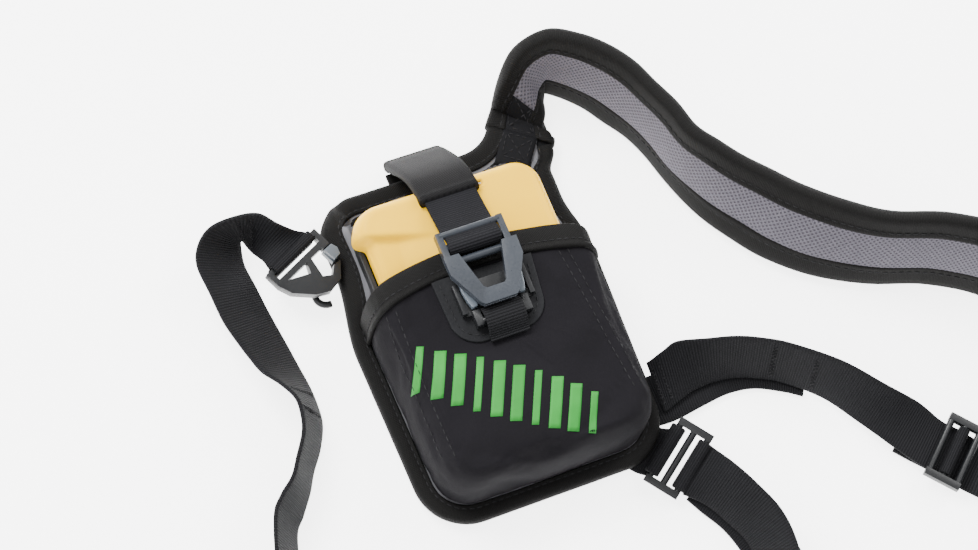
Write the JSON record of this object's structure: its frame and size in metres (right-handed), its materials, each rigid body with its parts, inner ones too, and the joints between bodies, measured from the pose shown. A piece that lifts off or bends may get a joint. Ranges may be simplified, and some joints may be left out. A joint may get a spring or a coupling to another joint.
{
  "type": "avalanche transceiver in carrying pouch",
  "caption": "Avalanche transceiver in a neoprene pouch with a squeeze-buckle closure strap, padded shoulder strap and waist belt with hook.",
  "frame": {"origin": "centre of the back panel's flat back face, which is the resting plane", "axes": "+X across the pouch to the side where the shoulder strap leaves, +Y up the pouch towards the transceiver's head, +Z out of the pouch's front"},
  "size_m": [0.3188, 0.2567, 0.0471],
  "materials": {
    "foam_panel": "matte",
    "lining": "matte",
    "binding": "ribbed, matte",
    "neoprene": "matte",
    "patch_rubber": "matte",
    "webbing": "woven, slight sheen",
    "buckle_dark": "satin",
    "buckle_slate": "satin",
    "tab_grey": "satin",
    "spacer_mesh": "heathered mesh",
    "yellow_case": "satin",
    "dark_case": "fine texture",
    "seal": "matte",
    "window": "clear",
    "lcd": "matte",
    "key_grey": "matte",
    "switch_grey": "satin",
    "battery": "satin",
    "steel": "brushed",
    "contact": "plated",
    "board": "solder mask",
    "ferrite": "wound",
    "clear_plastic": "clear"
  },
  "bodies": {
    "pouch": {"back_panel": "foam_panel", "panel_lining": "lining", "panel_binding": "binding", "front_pocket": "neoprene", "pocket_hem": "binding", "rubber_patch": "patch_rubber", "anchor_loop": "webbing", "buckle_socket": "buckle_dark", "closure_root": "binding", "neck_patch": "neoprene", "side_loop": "buckle_dark", "shoulder_strap_upper": "foam_panel", "shoulder_strap_middle": "foam_panel", "shoulder_strap_lower": "foam_panel", "shoulder_mesh": "spacer_mesh", "shoulder_binding": "binding", "shoulder_webbing": "webbing", "shoulder_adjuster": "buckle_slate", "side_webbing": "webbing", "side_webbing_under": "webbing", "belt_anchor": "webbing", "belt_adjuster": "buckle_slate", "belt_webbing_right": "webbing", "belt_webbing_middle": "webbing", "belt_webbing_left": "webbing", "belt_webbing_bend": "webbing", "belt_tail": "webbing", "hook_body": "buckle_slate"},
    "strap_half": {"closure_webbing": "webbing", "closure_sleeve": "binding", "buckle_plug": "buckle_slate"},
    "tab_left": {"release_tab_left": "tab_grey"},
    "tab_right": {"release_tab_right": "tab_grey"},
    "gate": {"hook_gate": "tab_grey"},
    "key_left": {"key_left": "key_grey"},
    "key_right": {"key_right": "key_grey"},
    "switch": {"mode_switch": "switch_grey"},
    "lock": {"switch_lock": "key_grey"},
    "transceiver": {"rear_shell": "yellow_case", "front_shell": "dark_case", "shell_seal": "seal", "display_window": "window", "lcd_module": "lcd", "battery_door": "dark_case", "door_screw": "steel", "batteries": "battery", "battery_contacts": "contact", "main_board": "board", "antenna_long": "ferrite", "antenna_cross": "ferrite", "antenna_vertical": "ferrite", "speaker": "dark_case", "light_pipe": "clear_plastic", "case_screws": "steel", "lanyard_pin": "steel"}
  },
  "joints": [
    {"name": "transceiver_slide", "type": "slide", "parent": "pouch", "child": "transceiver", "axis": [0, 1, 0], "range_m": [0, 0.05]},
    {"name": "strap_swing", "type": "hinge", "parent": "pouch", "child": "strap_half", "pos_m": [-0.0015, 0.073, 0.003], "axis": [-1, 0, 0], "range_deg": [0, 122], "deforming": ["closure_sleeve", "closure_webbing"]},
    {"name": "tab_left_press", "type": "hinge", "parent": "pouch", "child": "tab_left", "pos_m": [-0.0105, -0.0029, 0.0411], "axis": [0, 0, -1], "range_deg": [0, 10], "stiffness_Nm_per_rad": 0.02},
    {"name": "tab_right_press", "type": "hinge", "parent": "pouch", "child": "tab_right", "pos_m": [0.0075, -0.0029, 0.0411], "axis": [0, 0, 1], "range_deg": [0, 10], "stiffness_Nm_per_rad": 0.02},
    {"name": "hook_gate_press", "type": "hinge", "parent": "pouch", "child": "gate", "pos_m": [-0.0487, 0.0455, 0.0118], "axis": [0, 0, -1], "range_deg": [0, 18], "stiffness_Nm_per_rad": 0.02},
    {"name": "key_left_press", "type": "slide", "parent": "transceiver", "child": "key_left", "axis": [0, 0, 1], "range_m": [0, 0.0008], "stiffness_N_per_m": 600},
    {"name": "key_right_press", "type": "slide", "parent": "transceiver", "child": "key_right", "axis": [0, 0, 1], "range_m": [0, 0.0008], "stiffness_N_per_m": 600},
    {"name": "mode_switch_slide", "type": "slide", "parent": "transceiver", "child": "switch", "axis": [-1, 0, 0], "range_m": [0, 0.008]},
    {"name": "switch_lock_press", "type": "slide", "parent": "transceiver", "child": "lock", "axis": [0, -1, 0], "range_m": [0, 0.0009], "stiffness_N_per_m": 600}
  ],
  "couplings": [
    {"joint": "strap_swing", "follows": "transceiver_slide", "rad_per_m": 42.5}
  ]
}
